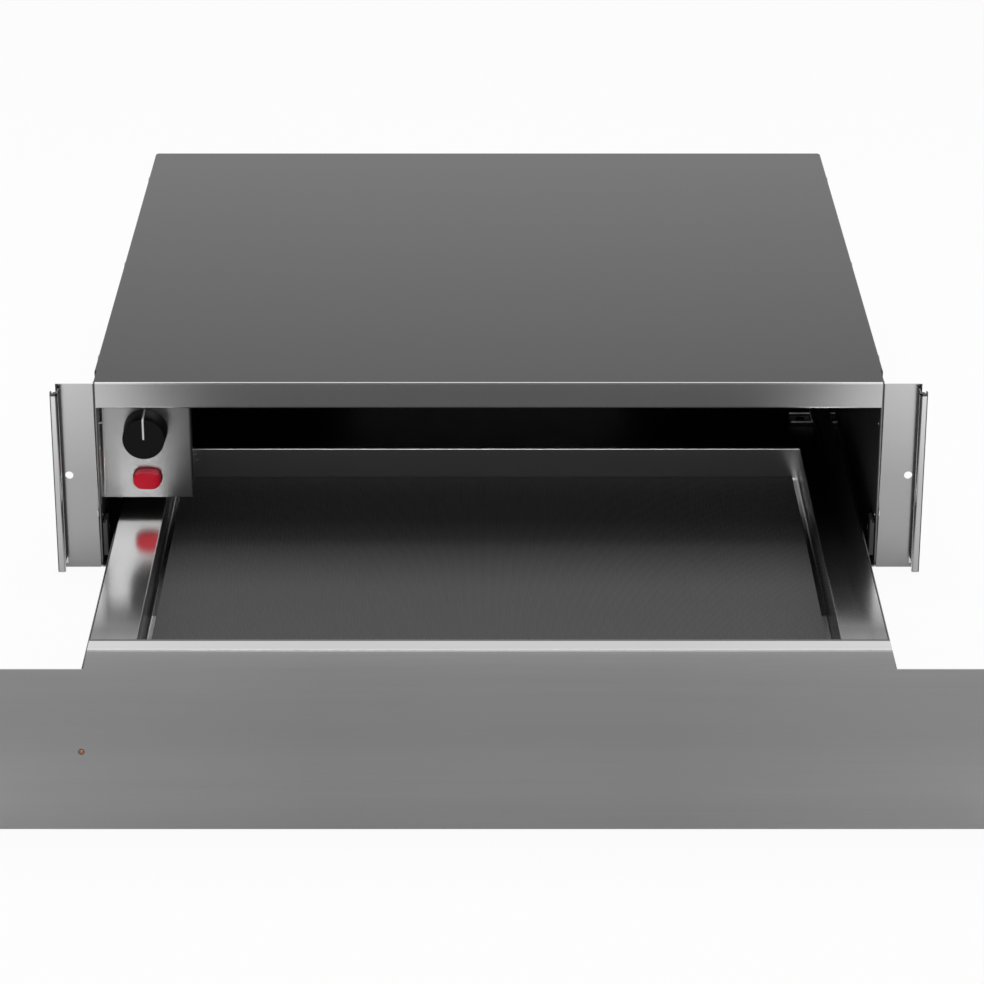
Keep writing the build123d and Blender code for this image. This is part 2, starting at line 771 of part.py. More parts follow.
def make_ball_cage(name, sign, label, foot, head, x, rest_centre):
    """Two strips of balls, below and above a slide member."""
    level_gap = raceway / 2
    pitch = cage_length / ball_count
    with BuildPart() as piece:
        for level in (foot - level_gap, head + level_gap):
            side_box(sign, (x - cage_width / 2, rest_centre - cage_length / 2, level - cage_sheet / 2),
                     (x + cage_width / 2, rest_centre + cage_length / 2, level + cage_sheet / 2))
            with Locations([(sign * x, rest_centre + (i - (ball_count - 1) / 2) * pitch, level)
                            for i in range(ball_count)]):
                Sphere(ball_diameter / 2)
    save(piece, f"{name}_{label}_ball_cage")


def make_slide(name, sign):
    """One telescopic slide: three nested channels with balls between them."""
    with BuildPart() as outer:
        channel(sign, slide_outer_face, race_tip, slide_foot, slide_head, slide_outer_front,
                slide_outer_length)
    save(outer, f"{name}_slide_outer")
    with BuildPart() as middle:
        channel(sign, middle_web, race_tip, middle_foot, middle_head, middle_start, slide_middle_length)
    save(middle, f"{name}_slide_middle")
    with BuildPart() as inner:
        channel(sign, inner_face, inner_tip, inner_foot, inner_head, inner_start, slide_inner_length)
    save(inner, f"{name}_slide_inner")

    outer_centre = 0.5 * (slide_outer_front + middle_start + slide_middle_length)
    inner_centre = 0.5 * (middle_start + inner_start + slide_inner_length)
    make_ball_cage(name, sign, "outer", middle_foot, middle_head, race_x, outer_centre)
    make_ball_cage(name, sign, "inner", inner_foot, inner_head, race_x, inner_centre)


def make_slide_brackets(name, sign):
    """Front angle on the wall and rear strap on the floor, which hold the outer slide member."""
    rear = slide_outer_front + bracket_depth
    wall_face = wall_in - bracket_sheet
    with BuildPart() as front:
        side_box(sign, (wall_face, slide_outer_front, slide_foot - bracket_sheet),
                 (wall_in, rear, slide_foot + bracket_rise - bracket_sheet))
        side_box(sign, (middle_web, slide_outer_front, slide_foot - bracket_sheet),
                 (wall_in, rear, slide_foot))
        screw_holes([s for s in wall_screws if s[0][0] * sign > 0])
    save(front, f"{name}_slide_front_bracket")

    strap_front = rear_bracket_front
    strap_rear = strap_front + rear_bracket_depth
    seat = (race_tip, slide_outer_face + bracket_sheet)
    foot_top = sheet + bracket_sheet
    with BuildPart() as strap:
        for inner, outer in ((rear_bracket_inner, seat[0]), (seat[1], rear_bracket_outer)):
            side_box(sign, (inner, strap_front, sheet), (outer, strap_rear, foot_top))
        for x in (seat[0], seat[1] - bracket_sheet):
            side_box(sign, (x, strap_front, sheet), (x + bracket_sheet, strap_rear, slide_foot))
        side_box(sign, (seat[0], strap_front, slide_foot - bracket_sheet), (seat[1], strap_rear, slide_foot))
        for start in (strap_front, strap_rear - bracket_sheet):
            side_box(sign, (rear_bracket_inner, start, sheet),
                     (seat[0], start + bracket_sheet, foot_top + rear_rim))
            side_box(sign, (seat[1], start, sheet),
                     (rear_bracket_outer, start + bracket_sheet, foot_top + rear_rim))
        screw_holes([s for s in floor_screws if s[0][0] * sign > 0])
    save(strap, f"{name}_slide_rear_bracket")

    nub_x = rail_half + pad_gap + pad_nub
    pad_front = slide_outer_front - pad_lead
    with BuildPart() as pad:
        side_box(sign, (nub_x, pad_front, slide_foot),
                 (wall_face, slide_outer_front + pad_length, slide_foot + pad_height))
        rod((sign * nub_x, pad_front + pad_nub, slide_foot), (0, 0, 1), pad_nub, pad_height + pad_nub_height)
    save(pad, f"{name}_guide_pad")


# ---- latch and mains connection ----
def make_latch():
    """Push latch on the back panel, its sprung plunger, and the striker on the tray."""
    bore_end = latch_face + plunger_tail + plunger_travel + plunger_bottom_gap
    with BuildPart() as body:
        box_between((-latch_half, latch_face, latch_foot), (latch_half, latch_rear_wall, latch_head))
        chamfer(body.faces().sort_by(Axis.Y)[0].edges(), latch_edge)
        rod((0, latch_face - 1, plunger_level), (0, 1, 0), plunger_diameter / 2 + plunger_fit,
            bore_end - latch_face + 1, mode=Mode.SUBTRACT)
    save(body, "latch_body")
    with BuildPart() as plunger:
        rod((0, plunger_tip, plunger_level), (0, 1, 0), plunger_diameter / 2,
            latch_face + plunger_tail - plunger_tip)
        fillet(plunger.edges().filter_by(GeomType.CIRCLE).group_by(Axis.Y)[0], latch_edge)
    save(plunger, "latch_plunger")
    with BuildPart() as striker:
        box_between((-striker_half, tray_back + tray_sheet, striker_foot),
                    (striker_half, tray_back + tray_sheet + striker_thickness, striker_head))
        chamfer(striker.faces().sort_by(Axis.Y)[-1].edges(), striker_edge)
    save(striker, "latch_striker")


def make_mains_connection():
    """Terminal block on the back panel under a cover, with a cable gland through the cover's foot."""
    terminal_head = terminal_foot + terminal_height
    low = (terminal_x - terminal_width / 2, carcass_depth, terminal_foot)
    high = (terminal_x + terminal_width / 2, carcass_depth + terminal_depth, terminal_head)
    gland_y = carcass_depth + 0.5 * (terminal_depth - terminal_wall)
    with BuildPart() as cover:
        box_between(low, high)
        fillet(cover.edges().filter_by(Axis.Z).sort_by(Axis.Y)[-2:], terminal_radius)
        box_between((low[0] + terminal_wall, low[1] - 1, low[2] + terminal_wall),
                    (high[0] - terminal_wall, high[1] - terminal_wall, high[2] - terminal_wall),
                    mode=Mode.SUBTRACT)
        rod((terminal_x, gland_y, terminal_foot - 1), (0, 0, 1), gland_neck / 2, terminal_wall + 2,
            mode=Mode.SUBTRACT)
    save(cover, "terminal_cover")

    block_foot = terminal_foot + block_rise
    way = block_width / block_ways
    with BuildPart() as block:
        box_between((terminal_x - block_width / 2, carcass_depth, block_foot),
                    (terminal_x + block_width / 2, carcass_depth + block_depth, block_foot + block_height))
        for i in range(block_ways):
            x = terminal_x + (i - (block_ways - 1) / 2) * way
            rod((x, carcass_depth + block_depth - block_hole_depth, block_foot + block_height / 2), (0, 1, 0),
                block_screw, block_depth, mode=Mode.SUBTRACT)
            rod((x, carcass_depth + block_depth / 2, block_foot - 1), (0, 0, 1), block_entry,
                block_entry_depth + 1, mode=Mode.SUBTRACT)
    save(block, "terminal_block")

    with BuildPart() as gland:
        rod((terminal_x, gland_y, terminal_foot), (0, 0, 1), gland_neck / 2, terminal_wall + gland_stub)
        with BuildSketch(Plane.XY.offset(terminal_foot - gland_nut_height)):
            with Locations((terminal_x, gland_y)):
                RegularPolygon(gland_nut / 2, 6, major_radius=False)
        extrude(amount=gland_nut_height)
        rod((terminal_x, gland_y, terminal_foot - gland_nut_height - gland_cap_height), (0, 0, 1),
            gland_cap / 2, gland_cap_height)
        fillet(gland.edges().filter_by(GeomType.CIRCLE).group_by(Axis.Z)[0], gland_cap_radius)
        rod((terminal_x, gland_y, 0), (0, 0, 1), cable_bore / 2, 2 * terminal_foot, mode=Mode.SUBTRACT)
    save(gland, "cable_gland")


os.makedirs("parts", exist_ok=True)
make_cabinet_shell()
make_cabinet_back()
make_top_cover()
make_front_top_bar()
make_control_fascia()
make_control_box()
make_thermostat()
make_power_button()
make_front_panel()
make_front_backing()
make_indicator()
make_drawer_tray()
make_heating()
make_latch()
make_mains_connection()
for side_name, side_sign in sides:
    make_side_flange(side_name, side_sign)
    make_rail(side_name, side_sign)
    make_drawer_side(side_name, side_sign)
    make_slide(side_name, side_sign)
    make_slide_brackets(side_name, side_sign)
make_screws("cover_screws", lid_screws, screw_tip + sheet)
make_screws("back_screws", rear_screws, screw_tip + sheet)
make_screws("flange_screws", leg_screws, screw_tip)
make_screws("bracket_screws", wall_screws + floor_screws, 2 * sheet)
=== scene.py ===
"""Built-in warming drawer, drawn open: finishes, detailed pieces, light and camera."""
import math
import bmesh
import bpy
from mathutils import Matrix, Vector


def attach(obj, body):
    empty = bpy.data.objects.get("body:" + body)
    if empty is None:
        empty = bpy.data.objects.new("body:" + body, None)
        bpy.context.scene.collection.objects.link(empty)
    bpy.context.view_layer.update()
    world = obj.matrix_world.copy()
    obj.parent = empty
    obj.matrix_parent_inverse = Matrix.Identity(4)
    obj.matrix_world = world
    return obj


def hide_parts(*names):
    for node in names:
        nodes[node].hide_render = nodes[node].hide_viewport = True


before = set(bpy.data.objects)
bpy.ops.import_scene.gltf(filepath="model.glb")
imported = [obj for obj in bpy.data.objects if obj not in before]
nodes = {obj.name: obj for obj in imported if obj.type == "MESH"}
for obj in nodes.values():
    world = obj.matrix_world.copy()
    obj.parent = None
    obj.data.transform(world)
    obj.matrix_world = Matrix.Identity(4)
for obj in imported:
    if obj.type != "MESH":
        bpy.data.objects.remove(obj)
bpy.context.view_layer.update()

# ---- sizes, in millimetres, in the frame of the solids ----
MM = 0.001
control_x, knob_level, button_level = -234.0, 96.1, 60.7
knob_base, knob_front, knob_foot_radius, knob_face_radius = 13.5, -5.5, 15.0, 14.3
button_front, button_rear, button_size, button_corner = 6.5, 19.0, (19.0, 13.2), 6.2
flange_front, lip_inner, lip_top, buffer_foot, buffer_sheet, buffer_depth = -1.0, 289.7, 132.6, 9.0, 0.35, 6.5
panel_front, panel_edge, panel_foot, panel_sheet = -381.5, 297.5, 0.5, 1.2
wing_height, crown_height, crown_base, crown_top = 105.0, 117.8, 235.2, 232.3
crown_rear, fold_rear, foot_fold = -369.4, -370.3, 258.0
indicator_x, indicator_level, indicator_radius = -238.4, 51.9, 1.65
rail_level, tray_half, rail_front, rail_rear, bead_radius = 37.0, 223.5, -380.0, 124.0, 0.5
mat_half, mat_front, mat_rear, mat_floor, mat_top = 219.0, -365.8, 122.0, 13.2, 14.7
rib_pitch, rib_rise = 1.5, 0.3
seal_height, seal_depth, seal_drop = 1.0, 2.6, 0.1
cover_screw_x, cover_screw_ys, cover_screw_z = 268.2, (60.0, 255.0, 460.0), 129.5
back_screw_x, back_screw_y, back_screw_zs = 266.6, 502.0, (40.0, 80.0)
flange_screw_x, flange_screw_y, flange_screw_zs = 267.6, 12.0, (33.75, 101.25)
wall_screw_place = (264.6, 26.0, 18.0)
strap_screw_xs, strap_screw_y, strap_screw_z = (236.8, 258.8), 268.5, 2.0

# ---- camera, in metres, degrees and millimetres of film ----
CAMERA_PLACE, CAMERA_TILT = (-0.0034, -2.221, 0.9937), 67.1
CAMERA_LENS, CAMERA_FILM, CAMERA_SHIFT = 129.1, 36.0, 0.00843


def tone(red, green=None, blue=None):
    """Colour as it shows on screen, 0 to 255, turned into the linear value that a shader takes."""
    values = (red, red if green is None else green, red if blue is None else blue)
    linear = [((v / 255 + 0.055) / 1.055) ** 2.4 if v > 10 else v / 255 / 12.92 for v in values]
    return (*linear, 1.0)


# ---- shader nodes ----
GRAIN_SCALE, LONG_GRAIN_SHARE = (9.0, 1100.0, 1100.0), (0.12, 0.1, 0.1)
CRYSTAL_BEND, FINE_RELIEF = 0.006, 0.0001


def add_node(tree, kind, inputs=None, **settings):
    """Shader node with its settings; an input is a value or the socket that feeds it."""
    made = tree.nodes.new(kind)
    for key, value in settings.items():
        setattr(made, key, value)
    for key, value in (inputs or {}).items():
        if isinstance(value, bpy.types.NodeSocket):
            tree.links.new(value, made.inputs[key])
        else:
            made.inputs[key].default_value = value
    return made


def new_group(name, inputs, outputs):
    """Empty shader node group with named sockets; a socket's kind is Float, Color or Vector."""
    tree = bpy.data.node_groups.new(name, "ShaderNodeTree")
    for socket, (kind, start) in inputs.items():
        made = tree.interface.new_socket(socket, in_out="INPUT", socket_type="NodeSocket" + kind)
        if start is not None:
            made.default_value = start
    for socket, kind in outputs.items():
        tree.interface.new_socket(socket, in_out="OUTPUT", socket_type="NodeSocket" + kind)
    return tree, tree.nodes.new("NodeGroupInput"), tree.nodes.new("NodeGroupOutput")


def mix_colour(tree, factor, first, second, blend="MIX"):
    """Mix of two colours; gives the socket with the result."""
    mixed = add_node(tree, "ShaderNodeMix", {0: factor, 6: first, 7: second}, data_type="RGBA",
                     blend_type=blend)
    return mixed.outputs[2]


def spread(tree, value, low, high, from_low=0.0, from_high=1.0):
    """Value moved from one range to another and held inside it."""
    moved = add_node(tree, "ShaderNodeMapRange", {
        "Value": value, "From Min": from_low, "From Max": from_high, "To Min": low, "To Max": high})
    return moved.outputs[0]


def arithmetic(tree, operation, first, second=0.0):
    """Result of one sum on two values."""
    return add_node(tree, "ShaderNodeMath", {0: first, 1: second}, operation=operation).outputs[0]


def vary(tree, middle, pattern, amount):
    """Middle value moved up and down by a pattern between 0 and 1."""
    swing = arithmetic(tree, "MULTIPLY", arithmetic(tree, "SUBTRACT", pattern, 0.5), amount)
    return arithmetic(tree, "ADD", middle, swing)


def scale_colour(tree, colour, share):
    """Colour times a share."""
    grey = add_node(tree, "ShaderNodeCombineColor", {0: share, 1: share, 2: share})
    return mix_colour(tree, 1.0, colour, grey.outputs[0], "MULTIPLY")


def move_vector(tree, operation, first, second):
    """Result of one sum on two vectors."""
    return add_node(tree, "ShaderNodeVectorMath", {0: first, 1: second}, operation=operation).outputs[0]


def send(tree, put, **results):
    """Join a group's results to its outputs."""
    for socket, result in results.items():
        tree.links.new(result, put.inputs[socket])
    return tree


def noise(tree, vector, scale, detail=2.0, roughness=0.5):
    """Noise pattern between 0 and 1."""
    made = add_node(tree, "ShaderNodeTexNoise", {"Vector": vector, "Scale": scale, "Detail": detail,
                                                 "Roughness": roughness})
    return made.outputs[0]


def build_metal_group():
    """Rolled or brushed metal: fine grain along one way, with faint handling smudges over it."""
    tree, given, put = new_group(
        "brushed_metal",
        {"Vector": ("Vector", None), "Colour": ("Color", (0.5, 0.5, 0.5, 1)), "Grain": ("Float", 0.1),
         "Roughness": ("Float", 0.3), "Smudge": ("Float", 0.05), "Smudge Scale": ("Float", 9.0)},
        {"Colour": "Color", "Roughness": "Float", "Height": "Float"})
    stretched = move_vector(tree, "MULTIPLY", given.outputs["Vector"], GRAIN_SCALE)
    grain = noise(tree, stretched, 1.0, 3.0, 0.65)
    long_grain = noise(tree, move_vector(tree, "MULTIPLY", stretched, LONG_GRAIN_SHARE), 1.0, 1.0)
    smudge = noise(tree, given.outputs["Vector"], given.outputs["Smudge Scale"], 3.0, 0.55)
    even = vary(tree, arithmetic(tree, "SUBTRACT", grain, 0.5), long_grain, 0.5)
    streaks = arithmetic(tree, "MULTIPLY", even, given.outputs["Grain"])
    colour = scale_colour(tree, given.outputs["Colour"], arithmetic(tree, "ADD", 1.0, streaks))
    worn = vary(tree, given.outputs["Roughness"], smudge, given.outputs["Smudge"])
    return send(tree, put, Colour=colour, Roughness=arithmetic(tree, "ADD", worn, streaks), Height=grain)


def build_spangle_group():
    """Zinc spangle: flat crystals that differ a little in shade and gloss."""
    tree, given, put = new_group(
        "zinc_spangle",
        {"Vector": ("Vector", None), "Colour": ("Color", (0.4, 0.4, 0.4, 1)), "Size": ("Float", 90.0),
         "Contrast": ("Float", 0.3), "Roughness": ("Float", 0.4)},
        {"Colour": "Color", "Roughness": "Float", "Height": "Float"})
    swirl = add_node(tree, "ShaderNodeTexNoise", {"Vector": given.outputs["Vector"], "Scale": 160.0}).outputs[1]
    bend = add_node(tree, "ShaderNodeVectorMath", {0: swirl, 3: CRYSTAL_BEND}, operation="SCALE").outputs[0]
    warped = move_vector(tree, "ADD", given.outputs["Vector"], bend)
    crystals = add_node(tree, "ShaderNodeTexVoronoi", {"Vector": warped, "Scale": given.outputs["Size"]})
    level = add_node(tree, "ShaderNodeSeparateColor", {0: crystals.outputs["Color"]}).outputs[0]
    colour = scale_colour(tree, given.outputs["Colour"], vary(tree, 1.0, level, given.outputs["Contrast"]))
    rough = vary(tree, given.outputs["Roughness"], level,
                 arithmetic(tree, "MULTIPLY", given.outputs["Contrast"], 0.6))
    return send(tree, put, Colour=colour, Roughness=rough, Height=noise(tree, given.outputs["Vector"], 700.0))


def build_moulded_group():
    """Moulded or coated surface: fine grain, slow mottling, and edges rubbed a little lighter."""
    tree, given, put = new_group(
        "moulded_grain",
        {"Vector": ("Vector", None), "Colour": ("Color", (0.1, 0.1, 0.1, 1)),
         "Worn": ("Color", (0.2, 0.2, 0.2, 1)), "Mottle": ("Float", 0.1), "Grain Scale": ("Float", 1500.0),
         "Roughness": ("Float", 0.5), "Wear": ("Float", 0.3), "Wear Width": ("Float", 0.0006)},
        {"Colour": "Color", "Roughness": "Float", "Height": "Float"})
    grain = noise(tree, given.outputs["Vector"], given.outputs["Grain Scale"], 2.0, 0.6)
    mottle = noise(tree, given.outputs["Vector"], 35.0, 4.0, 0.6)
    rounded = add_node(tree, "ShaderNodeBevel", {"Radius": given.outputs["Wear Width"]}, samples=4)
    flat = add_node(tree, "ShaderNodeNewGeometry")
    edge = add_node(tree, "ShaderNodeVectorMath", {0: rounded.outputs[0], 1: flat.outputs["Normal"]},
                    operation="DOT_PRODUCT").outputs["Value"]
    patchy = spread(tree, noise(tree, given.outputs["Vector"], 140.0, 3.0), 0.2, 1.0, 0.35, 0.65)
    rubbed = arithmetic(tree, "MULTIPLY", spread(tree, edge, 1.0, 0.0, 0.80, 0.995), patchy)
    mask = arithmetic(tree, "MULTIPLY", rubbed, given.outputs["Wear"])
    base = scale_colour(tree, given.outputs["Colour"], vary(tree, 1.0, mottle, given.outputs["Mottle"]))
    return send(tree, put, Colour=mix_colour(tree, mask, base, given.outputs["Worn"]),
                Roughness=vary(tree, given.outputs["Roughness"], mottle, 0.15), Height=grain)


def build_inside_group():
    """Mask of a box and its mirror image across the middle: 1 between the two corners, 0 outside."""
    tree, given, put = new_group(
        "inside_mask", {"Vector": ("Vector", None), "Low": ("Vector", None), "High": ("Vector", None)},
        {"Mask": "Float"})
    x, y, z = add_node(tree, "ShaderNodeSeparateXYZ", {0: given.outputs["Vector"]}).outputs
    folded = add_node(tree, "ShaderNodeCombineXYZ", {0: arithmetic(tree, "ABSOLUTE", x), 1: y, 2: z}).outputs[0]
    over = move_vector(tree, "SUBTRACT", folded, given.outputs["Low"])
    under = move_vector(tree, "SUBTRACT", given.outputs["High"], folded)
    least = move_vector(tree, "MINIMUM", over, under)
    x, y, z = add_node(tree, "ShaderNodeSeparateXYZ", {0: least}).outputs
    smallest = arithmetic(tree, "MINIMUM", x, arithmetic(tree, "MINIMUM", y, z))
    return send(tree, put, Mask=arithmetic(tree, "GREATER_THAN", smallest, 0.0))


metal_group = build_metal_group()
spangle_group = build_spangle_group()
moulded_group = build_moulded_group()
inside_group = build_inside_group()


def start_material(name, turn=(0, 0, 0)):
    """New material, its tree and surface shader, its object coordinates, and those turned along the grain."""
    material = bpy.data.materials.new(name)
    material.use_nodes = True
    tree = material.node_tree
    place = add_node(tree, "ShaderNodeTexCoord").outputs["Object"]
    turned = add_node(tree, "ShaderNodeMapping", {"Vector": place, "Rotation": turn}).outputs[0]
    return material, tree, tree.nodes["Principled BSDF"], place, turned


def use_group(tree, group, inputs):
    """Group placed in a material with that material's values."""
    made = add_node(tree, "ShaderNodeGroup", node_tree=group)
    for key, value in inputs.items():
        if isinstance(value, bpy.types.NodeSocket):
            tree.links.new(value, made.inputs[key])
        else:
            made.inputs[key].default_value = value
    return made.outputs


def add_relief(tree, shader, height, bump):
    """Fine relief of the surface from a height pattern."""
    relief = add_node(tree, "ShaderNodeBump", {"Strength": bump, "Distance": FINE_RELIEF, "Height": height})
    tree.links.new(relief.outputs[0], shader.inputs["Normal"])


def connect(tree, shader, colour, outputs, bump, **plain):
    """Feed the shader from a group's outputs, and set the values that are the same all over."""
    tree.links.new(colour, shader.inputs["Base Color"])
    tree.links.new(outputs["Roughness"], shader.inputs["Roughness"])
    add_relief(tree, shader, outputs["Height"], bump)
    for key, value in plain.items():
        shader.inputs[key.replace("_", " ")].default_value = value


def box_corners(*values):
    """Six sizes in millimetres as two corners in metres."""
    return tuple(v * MM for v in values[:3]), tuple(v * MM for v in values[3:])


def in_box(tree, place, corners):
    """Mask of a box given in millimetres, on both sides of the middle."""
    low, high = box_corners(*corners)
    return use_group(tree, inside_group, {"Vector": place, "Low": low, "High": high})["Mask"]


def faded(tree, place, colour, fades):
    """Colour that changes to factor times itself between two places in millimetres, x from the middle."""
    for axis, start, end, factor in fades:
        value = add_node(tree, "ShaderNodeSeparateXYZ", {0: place}).outputs["xyz".index(axis)]
        if axis == "x":
            value = arithmetic(tree, "ABSOLUTE", value)
        colour = scale_colour(tree, colour, spread(tree, value, 1.0, factor, start * MM, end * MM))
    return colour


def patched(tree, place, colour, patches):
    """Colour with other tones inside boxes: painted shade, such as a fold's shaded inside, and painted
    highlights, such as on an edge.
    """
    for corners, patch in patches:
        colour = mix_colour(tree, in_box(tree, place, corners), colour, patch)
    return colour


ALONG_X, ALONG_Y, ALONG_Z = (0, 0, 0), (0, 0, math.pi / 2), (0, math.pi / 2, 0)


def steel(name, colour, roughness, grain=0.1, smudge=0.06, turn=ALONG_X, bump=0.04, fades=(), patches=(),
          crossed=None, **plain):
    """Brushed, rolled or plated metal; inside the box crossed its grain runs along X instead."""
    material, tree, shader, place, turned = start_material(name, turn)
    if crossed:
        turned = add_node(tree, "ShaderNodeMix", {0: in_box(tree, place, crossed), 4: turned, 5: place},
                          data_type="VECTOR").outputs[1]
    outputs = use_group(tree, metal_group, {"Vector": turned, "Colour": colour, "Grain": grain,
                                            "Roughness": roughness, "Smudge": smudge})
    shown = patched(tree, place, outputs["Colour"], patches)
    connect(tree, shader, faded(tree, place, shown, fades), outputs, bump, Metallic=1.0, **plain)
    return material


def moulded(name, colour, roughness, worn=None, mottle=0.15, grain=1500.0, bump=0.1, wear=0.25, width=0.0005,
            patches=(), fades=(), **plain):
    """Plastic, rubber, felt or coated sheet."""
    material, tree, shader, place, turned = start_material(name)
    worn = worn or tuple(min(1.0, c * 2.2 + 0.01) for c in colour[:3]) + (1.0,)
    outputs = use_group(tree, moulded_group, {
        "Vector": turned, "Colour": colour, "Worn": worn, "Mottle": mottle, "Grain Scale": grain,
        "Roughness": roughness, "Wear": wear, "Wear Width": width})
    shown = patched(tree, place, outputs["Colour"], patches)
    connect(tree, shader, faded(tree, place, shown, fades), outputs, bump, **plain)
    return material


def zinc(name, colour=tone(168), roughness=0.42, inside=None, dark=tone(12), contrast=0.22, fades=()):
    """Spangled zinc sheet; inside the box its faces are coloured dark, and a lighter tone on the cavity's side
    walls is a painted reflection.
    """
    material, tree, shader, place, _ = start_material(name)
    bare = use_group(tree, spangle_group, {"Vector": place, "Colour": faded(tree, place, colour, fades),
                                           "Contrast": contrast, "Roughness": roughness})
    if not inside:
        connect(tree, shader, bare["Colour"], bare, 0.05, Metallic=1.0)
        return material
    dark_inside = use_group(tree, moulded_group, {"Vector": place, "Colour": dark, "Worn": dark, "Roughness": 0.34,
                                           "Wear": 0.0})
    mask = in_box(tree, place, inside)
    # The cavity's side walls get a lighter tone over the dark: a painted reflection.
    dark_inside_painted_reflection = patched(tree, place, dark_inside["Colour"], [(CAVITY_SIDES_REFLECTION, tone(70))])
    tree.links.new(mix_colour(tree, mask, bare["Colour"], dark_inside_painted_reflection), shader.inputs["Base Color"])
    rough = add_node(tree, "ShaderNodeMix", {0: mask, 2: bare["Roughness"], 3: dark_inside["Roughness"]})
    tree.links.new(rough.outputs[0], shader.inputs["Roughness"])
    tree.links.new(spread(tree, mask, 1.0, 0.0), shader.inputs["Metallic"])
    add_relief(tree, shader, dark_inside["Height"], 0.05)
    shader.inputs["Specular IOR Level"].default_value = 0.15
    return material


# ---- finishes of this object's own parts ----
# Boxes that pick out faces and edges, most of them for painted shade, painted highlights and painted
# reflections: low x, y, z and high x, y, z in millimetres, on both sides of the middle.
CAVITY_SIDES_REFLECTION = (262, 0.3, 0.5, 270, 509.5, 134.0)
CAVITY = (-1, 0.3, 0.5, 266.1, 509.5, 136.0)
BAR_TOP_HIGHLIGHT = (-1, -6, 135.4, 270, -0.5, 137)
BAR_SHELF_SHADE = (-1, -1.4, 110, 270, 20, 127)
LIP_HOLLOW_SHADE = (289.6, -7.6, -1, 294.15, -1.05, 140)
LIP_CAP_SHADE = (280, -20, 131.0, 300, -4, 140)
LIP_INSIDE_HIGHLIGHT = (289.5, -13.2, -1, 290.4, -7.6, 131.0)
LIP_NOSE_HIGHLIGHT = (280, -20, -1, 300, -13.9, 131.0)
LIP_OUTSIDE_SHADE = (294.35, -20, -1, 300, -10.5, 140)
EDGE_GLINT = (266.4, -2, 38, 267.6, 1, 42)
FOOT_GLINT = (289.4, -2, 3.0, 291.0, 1, 7.5)
LEG_EDGE_SHADE = (264, -1, 0, 267, 0.95, 140)
LEG_FACE_REFLECTION = (264.3, 0.95, 0, 267, 11, 140)
SCREW_TIP_SHADE = (264, 0, 0, 265.4, 20, 120)
KNOB_FACE_LIT = (200, -6, 70, 260, -4.7, 120)
RETURN_TOP_HIGHLIGHT = (-1, -380.7, 117.3, 240, -360, 120)
RAIL_LIP_SHADE = (252.9, -400, 30, 260, 200, 40)
TRAY_BACK = (-1, 122.5, 0, 260, 130, 36.4)
TRAY_RIM_HIGHLIGHT = (-1, 122.5, 36.4, 260, 130, 38)
TRAY_WALLS_SHADE = (214, -375, 12.5, 226, 122, 36.2)
BUTTON_TOP_HIGHLIGHT = (220, 6.9, 65.1, 250, 13.5, 70)
STRAP_SCREWS = (230, 262, 0, 264, 275, 6)
TRAY_MARGIN_HIGHLIGHT = (217, -378, 12, 222.6, -110, 15)
TRAY_CORNER_HIGHLIGHT = (-1, 121.6, 12, 221, 123.9, 14.6)
STRAP_RIMS_HIGHLIGHT = (-1, 200, 3.2, 270, 400, 6)
